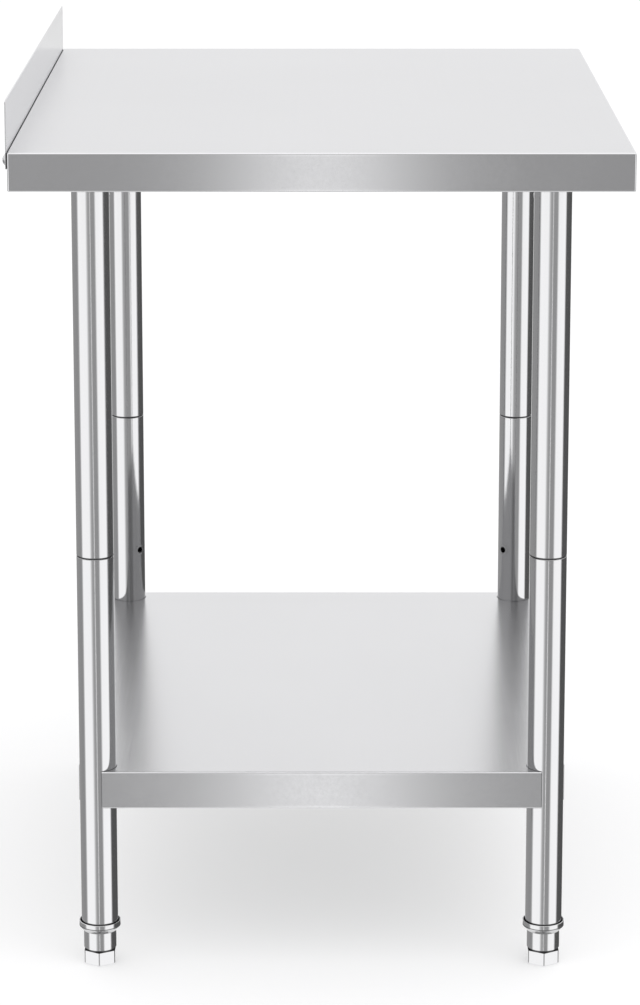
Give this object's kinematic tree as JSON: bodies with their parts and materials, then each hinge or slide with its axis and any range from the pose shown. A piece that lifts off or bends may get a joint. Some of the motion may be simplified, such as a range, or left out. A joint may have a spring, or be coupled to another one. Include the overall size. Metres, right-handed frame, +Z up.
{
  "type": "work table",
  "caption": "Free-standing stainless work table with a folded worktop, a low rear upstand, two-piece tube legs, a notched lower shelf and screw-adjusted hexagonal feet.",
  "frame": {"origin": "on the floor, at the middle of the four feet and of the worktop", "axes": "+Z up, +X along the length, +Y towards the rear upstand"},
  "size_m": [0.762, 0.6159, 0.9144],
  "materials": {
    "worktop_sheet": "fine brushed along the length",
    "upstand_sheet": "fine brushed along the length",
    "shelf_sheet": "fine brushed along the length",
    "leg_tube": "bright polished tube",
    "inner_tube": "plain mill finish",
    "foot_socket_steel": "polished",
    "zinc_plated": "galvanised",
    "fastener_steel": "turned and polished",
    "foot_steel": "polished",
    "glide_nylon": "moulded nylon"
  },
  "bodies": {
    "table_frame": {"worktop": "worktop_sheet", "rear_upstand": "upstand_sheet", "upstand_screws": "fastener_steel", "upstand_washers": "fastener_steel", "upstand_nuts": "fastener_steel", "top_channel_left": "zinc_plated", "top_channel_right": "zinc_plated", "top_channel_centre": "zinc_plated", "leg_socket_front_left": "zinc_plated", "leg_socket_front_right": "zinc_plated", "leg_socket_rear_left": "zinc_plated", "leg_socket_rear_right": "zinc_plated", "socket_rivets": "fastener_steel", "leg_upper_front_left": "leg_tube", "leg_upper_front_right": "leg_tube", "leg_upper_rear_left": "leg_tube", "leg_upper_rear_right": "leg_tube", "leg_lower_front_left": "leg_tube", "leg_lower_front_right": "leg_tube", "leg_lower_rear_left": "leg_tube", "leg_lower_rear_right": "leg_tube", "leg_sleeve_front_left": "inner_tube", "leg_sleeve_front_right": "inner_tube", "leg_sleeve_rear_left": "inner_tube", "leg_sleeve_rear_right": "inner_tube", "leg_inserts": "fastener_steel", "spare_leg_inserts": "fastener_steel", "leg_top_screws": "fastener_steel", "lower_shelf": "shelf_sheet", "shelf_channel": "zinc_plated", "shelf_bracket_front_left": "zinc_plated", "shelf_bracket_front_right": "zinc_plated", "shelf_bracket_rear_left": "zinc_plated", "shelf_bracket_rear_right": "zinc_plated", "shelf_bolts": "fastener_steel", "foot_socket_front_left": "foot_socket_steel", "foot_socket_front_right": "foot_socket_steel", "foot_socket_rear_left": "foot_socket_steel", "foot_socket_rear_right": "foot_socket_steel"},
    "glide_front_left": {"foot_glide_front_left": "glide_nylon"},
    "foot_front_left": {"foot_front_left": "foot_steel"},
    "glide_front_right": {"foot_glide_front_right": "glide_nylon"},
    "foot_front_right": {"foot_front_right": "foot_steel"},
    "glide_rear_left": {"foot_glide_rear_left": "glide_nylon"},
    "foot_rear_left": {"foot_rear_left": "foot_steel"},
    "glide_rear_right": {"foot_glide_rear_right": "glide_nylon"},
    "foot_rear_right": {"foot_rear_right": "foot_steel"}
  },
  "joints": [
    {"name": "foot_front_left_travel", "type": "slide", "parent": "table_frame", "child": "glide_front_left", "axis": [0, 0, 1], "range_m": [0, 0.0175]},
    {"name": "foot_front_left_turn", "type": "hinge", "parent": "glide_front_left", "child": "foot_front_left", "pos_m": [-0.302, -0.23, 0], "axis": [0, 0, 1], "range_deg": [0, 3600]},
    {"name": "foot_front_right_travel", "type": "slide", "parent": "table_frame", "child": "glide_front_right", "axis": [0, 0, 1], "range_m": [0, 0.0175]},
    {"name": "foot_front_right_turn", "type": "hinge", "parent": "glide_front_right", "child": "foot_front_right", "pos_m": [0.302, -0.23, 0], "axis": [0, 0, 1], "range_deg": [0, 3600]},
    {"name": "foot_rear_left_travel", "type": "slide", "parent": "table_frame", "child": "glide_rear_left", "axis": [0, 0, 1], "range_m": [0, 0.0175]},
    {"name": "foot_rear_left_turn", "type": "hinge", "parent": "glide_rear_left", "child": "foot_rear_left", "pos_m": [-0.302, 0.23, 0], "axis": [0, 0, 1], "range_deg": [0, 3600]},
    {"name": "foot_rear_right_travel", "type": "slide", "parent": "table_frame", "child": "glide_rear_right", "axis": [0, 0, 1], "range_m": [0, 0.0175]},
    {"name": "foot_rear_right_turn", "type": "hinge", "parent": "glide_rear_right", "child": "foot_rear_right", "pos_m": [0.302, 0.23, 0], "axis": [0, 0, 1], "range_deg": [0, 3600]}
  ],
  "couplings": [
    {"joint": "foot_front_left_turn", "follows": "foot_front_left_travel", "rad_per_m": 3590.4},
    {"joint": "foot_front_right_turn", "follows": "foot_front_right_travel", "rad_per_m": 3590.4},
    {"joint": "foot_rear_left_turn", "follows": "foot_rear_left_travel", "rad_per_m": 3590.4},
    {"joint": "foot_rear_right_turn", "follows": "foot_rear_right_travel", "rad_per_m": 3590.4}
  ]
}
